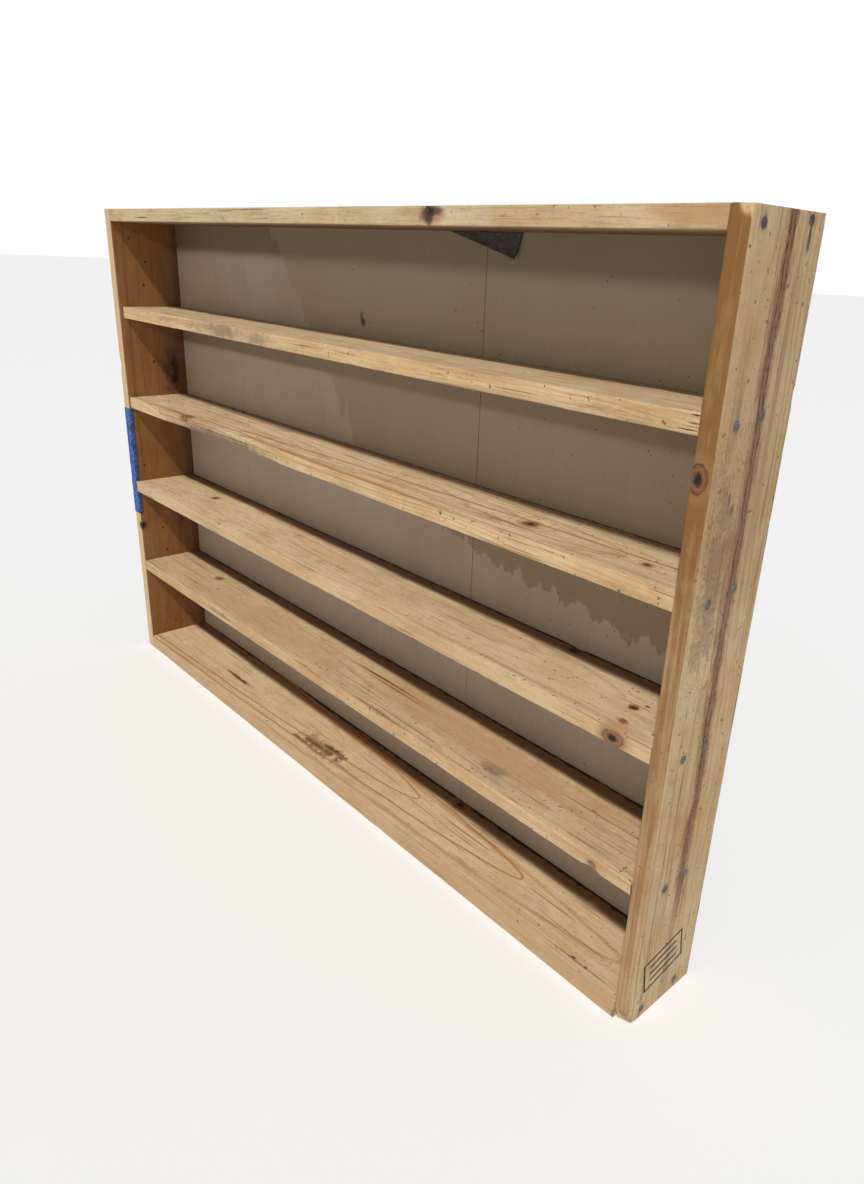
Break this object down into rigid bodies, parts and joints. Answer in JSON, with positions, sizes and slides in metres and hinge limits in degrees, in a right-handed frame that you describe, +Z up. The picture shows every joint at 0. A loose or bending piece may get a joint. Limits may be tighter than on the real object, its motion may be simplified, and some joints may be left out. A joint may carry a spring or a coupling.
{
  "type": "nail polish rack",
  "caption": "Wide shallow wall rack of bare pine boards, open at the front, with level shelves and a thin painted back in two sheets.",
  "frame": {"origin": "middle of the rack's underside", "axes": "+Z up, +X to the right seen from the front, the open front faces -Y and the back sheets face +Y"},
  "size_m": [1.22, 0.1184, 0.816],
  "materials": {
    "pine": "bare aged pine, worn and stained",
    "painted_sheet": "flat taupe paint, water stained",
    "nail_steel": "dull, lightly rusted",
    "dark_scrap": "scuffed, dull",
    "blue_tape": "crinkled painter's tape"
  },
  "bodies": {
    "root": {"left_side": "pine", "right_side": "pine", "top_board": "pine", "bottom_board": "pine", "shelf_1": "pine", "shelf_2": "pine", "shelf_3": "pine", "shelf_4": "pine", "back_panel_left": "painted_sheet", "back_panel_right": "painted_sheet", "nails_top_board_left": "nail_steel", "nails_top_board_right": "nail_steel", "nails_shelf_1_left": "nail_steel", "nails_shelf_1_right": "nail_steel", "nails_shelf_2_left": "nail_steel", "nails_shelf_2_right": "nail_steel", "nails_shelf_3_left": "nail_steel", "nails_shelf_3_right": "nail_steel", "nails_shelf_4_left": "nail_steel", "nails_shelf_4_right": "nail_steel", "nails_bottom_board_left": "nail_steel", "nails_bottom_board_right": "nail_steel", "pins_back_panel_left": "nail_steel", "pins_back_panel_right": "nail_steel", "seam_gusset": "dark_scrap", "painter_tape": "blue_tape"}
  },
  "joints": []
}
